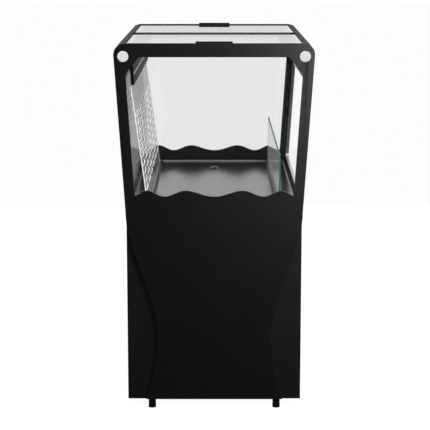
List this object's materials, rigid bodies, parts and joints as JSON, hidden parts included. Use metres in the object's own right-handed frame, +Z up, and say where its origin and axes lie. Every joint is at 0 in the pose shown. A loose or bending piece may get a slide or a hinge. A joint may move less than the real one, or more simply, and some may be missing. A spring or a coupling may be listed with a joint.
{
  "type": "aquarium on stand",
  "caption": "Flared glass tank in a black frame on a closed cabinet, with hinged glass lids, a slotted filter screen, a glass weir, a drain valve and doors on one long side.",
  "frame": {"origin": "on the floor, under the middle of the object", "axes": "+Z up; +X across the tank, towards the doors; +Y along the tank, from the front end panel to the rear one"},
  "size_m": [0.5968, 1, 1.128],
  "materials": {
    "end_panel_black": "satin black sheet, fine orange peel",
    "white_cap": "satin white moulded cap",
    "steel": "zinc plated",
    "frame_black": "satin black profile",
    "window_trim": "bright brushed",
    "ledge_pad": "soft grey pad",
    "floor_glass": "black backed polished glass",
    "mat": "closed cell foam",
    "clear_glass": "clear float glass",
    "silicone": "smooth tooled bead",
    "clear_sheet": "clear sheet with cut slots",
    "weir_glass": "clear glass with green ground edge",
    "strip_black": "moulded",
    "light_bar": "black anodised",
    "lens": "frosted diffuser",
    "handle_black": "moulded, softly polished",
    "drain_grey": "moulded pipe fitting",
    "lever_red": "moulded lever",
    "cabinet_black": "black laminated board",
    "nylon": "turned washer",
    "foot_black": "moulded foot"
  },
  "bodies": {
    "tank_and_cabinet": {"end_panel_front": "end_panel_black", "end_panel_rear": "end_panel_black", "screw_caps": "white_cap", "panel_screws": "steel", "side_frame_left": "frame_black", "side_frame_right": "frame_black", "window_trim_left": "window_trim", "window_trim_right": "window_trim", "top_rail_left": "frame_black", "top_rail_right": "frame_black", "ledge_pads": "ledge_pad", "cross_bar": "frame_black", "lid_hinge_pins": "steel", "floor_glass": "floor_glass", "base_mat": "mat", "end_glass_front": "clear_glass", "end_glass_rear": "clear_glass", "side_glass_left": "clear_glass", "side_glass_right": "clear_glass", "silicone_seams": "silicone", "slotted_sheet": "clear_sheet", "glass_weir": "weir_glass", "floor_strips": "strip_black", "light_bar_housing": "light_bar", "light_bar_lens": "lens", "light_bar_hangers": "strip_black", "drain_strainer": "drain_grey", "drain_fitting": "drain_grey", "drain_nut": "drain_grey", "valve_body": "drain_grey", "hose_tail": "drain_grey", "cabinet_end_front": "cabinet_black", "cabinet_end_rear": "cabinet_black", "cabinet_back": "cabinet_black", "cabinet_top": "cabinet_black", "cabinet_bottom": "cabinet_black", "cabinet_divider": "cabinet_black", "board_screws": "steel", "inner_screws": "steel", "cable_grommet": "strip_black", "door_pivots": "steel", "pivot_washers": "nylon", "door_catches": "strip_black", "feet": "foot_black", "foot_bolts": "steel"},
    "lid_front": {"lid_glass_front": "clear_glass", "lid_strip_front": "strip_black", "lid_handle_front": "handle_black"},
    "lid_rear": {"lid_glass_rear": "clear_glass", "lid_strip_rear": "strip_black", "lid_handle_rear": "handle_black"},
    "door_front": {"door_front": "cabinet_black", "door_knob_front": "handle_black", "door_plates": "steel"},
    "door_rear": {"door_rear": "cabinet_black", "door_knob_rear": "handle_black", "door_plates_rear": "steel"},
    "valve_lever": {"valve_stem": "steel", "valve_lever": "lever_red"}
  },
  "joints": [
    {"name": "lid_front_hinge", "type": "hinge", "parent": "tank_and_cabinet", "child": "lid_front", "pos_m": [0, -0.014, 1.1175], "axis": [-1, 0, 0], "range_deg": [0, 85]},
    {"name": "lid_rear_hinge", "type": "hinge", "parent": "tank_and_cabinet", "child": "lid_rear", "pos_m": [0, 0.014, 1.1175], "axis": [1, 0, 0], "range_deg": [0, 85]},
    {"name": "door_front_hinge", "type": "hinge", "parent": "tank_and_cabinet", "child": "door_front", "pos_m": [0.256, -0.4635, 0.3], "axis": [0, 0, -1], "range_deg": [0, 95]},
    {"name": "door_rear_hinge", "type": "hinge", "parent": "tank_and_cabinet", "child": "door_rear", "pos_m": [0.256, 0.4635, 0.3], "axis": [0, 0, 1], "range_deg": [0, 95]},
    {"name": "valve_turn", "type": "hinge", "parent": "tank_and_cabinet", "child": "valve_lever", "pos_m": [0.025, 0.325, 0.544], "axis": [1, 0, 0], "range_deg": [0, 90]}
  ]
}
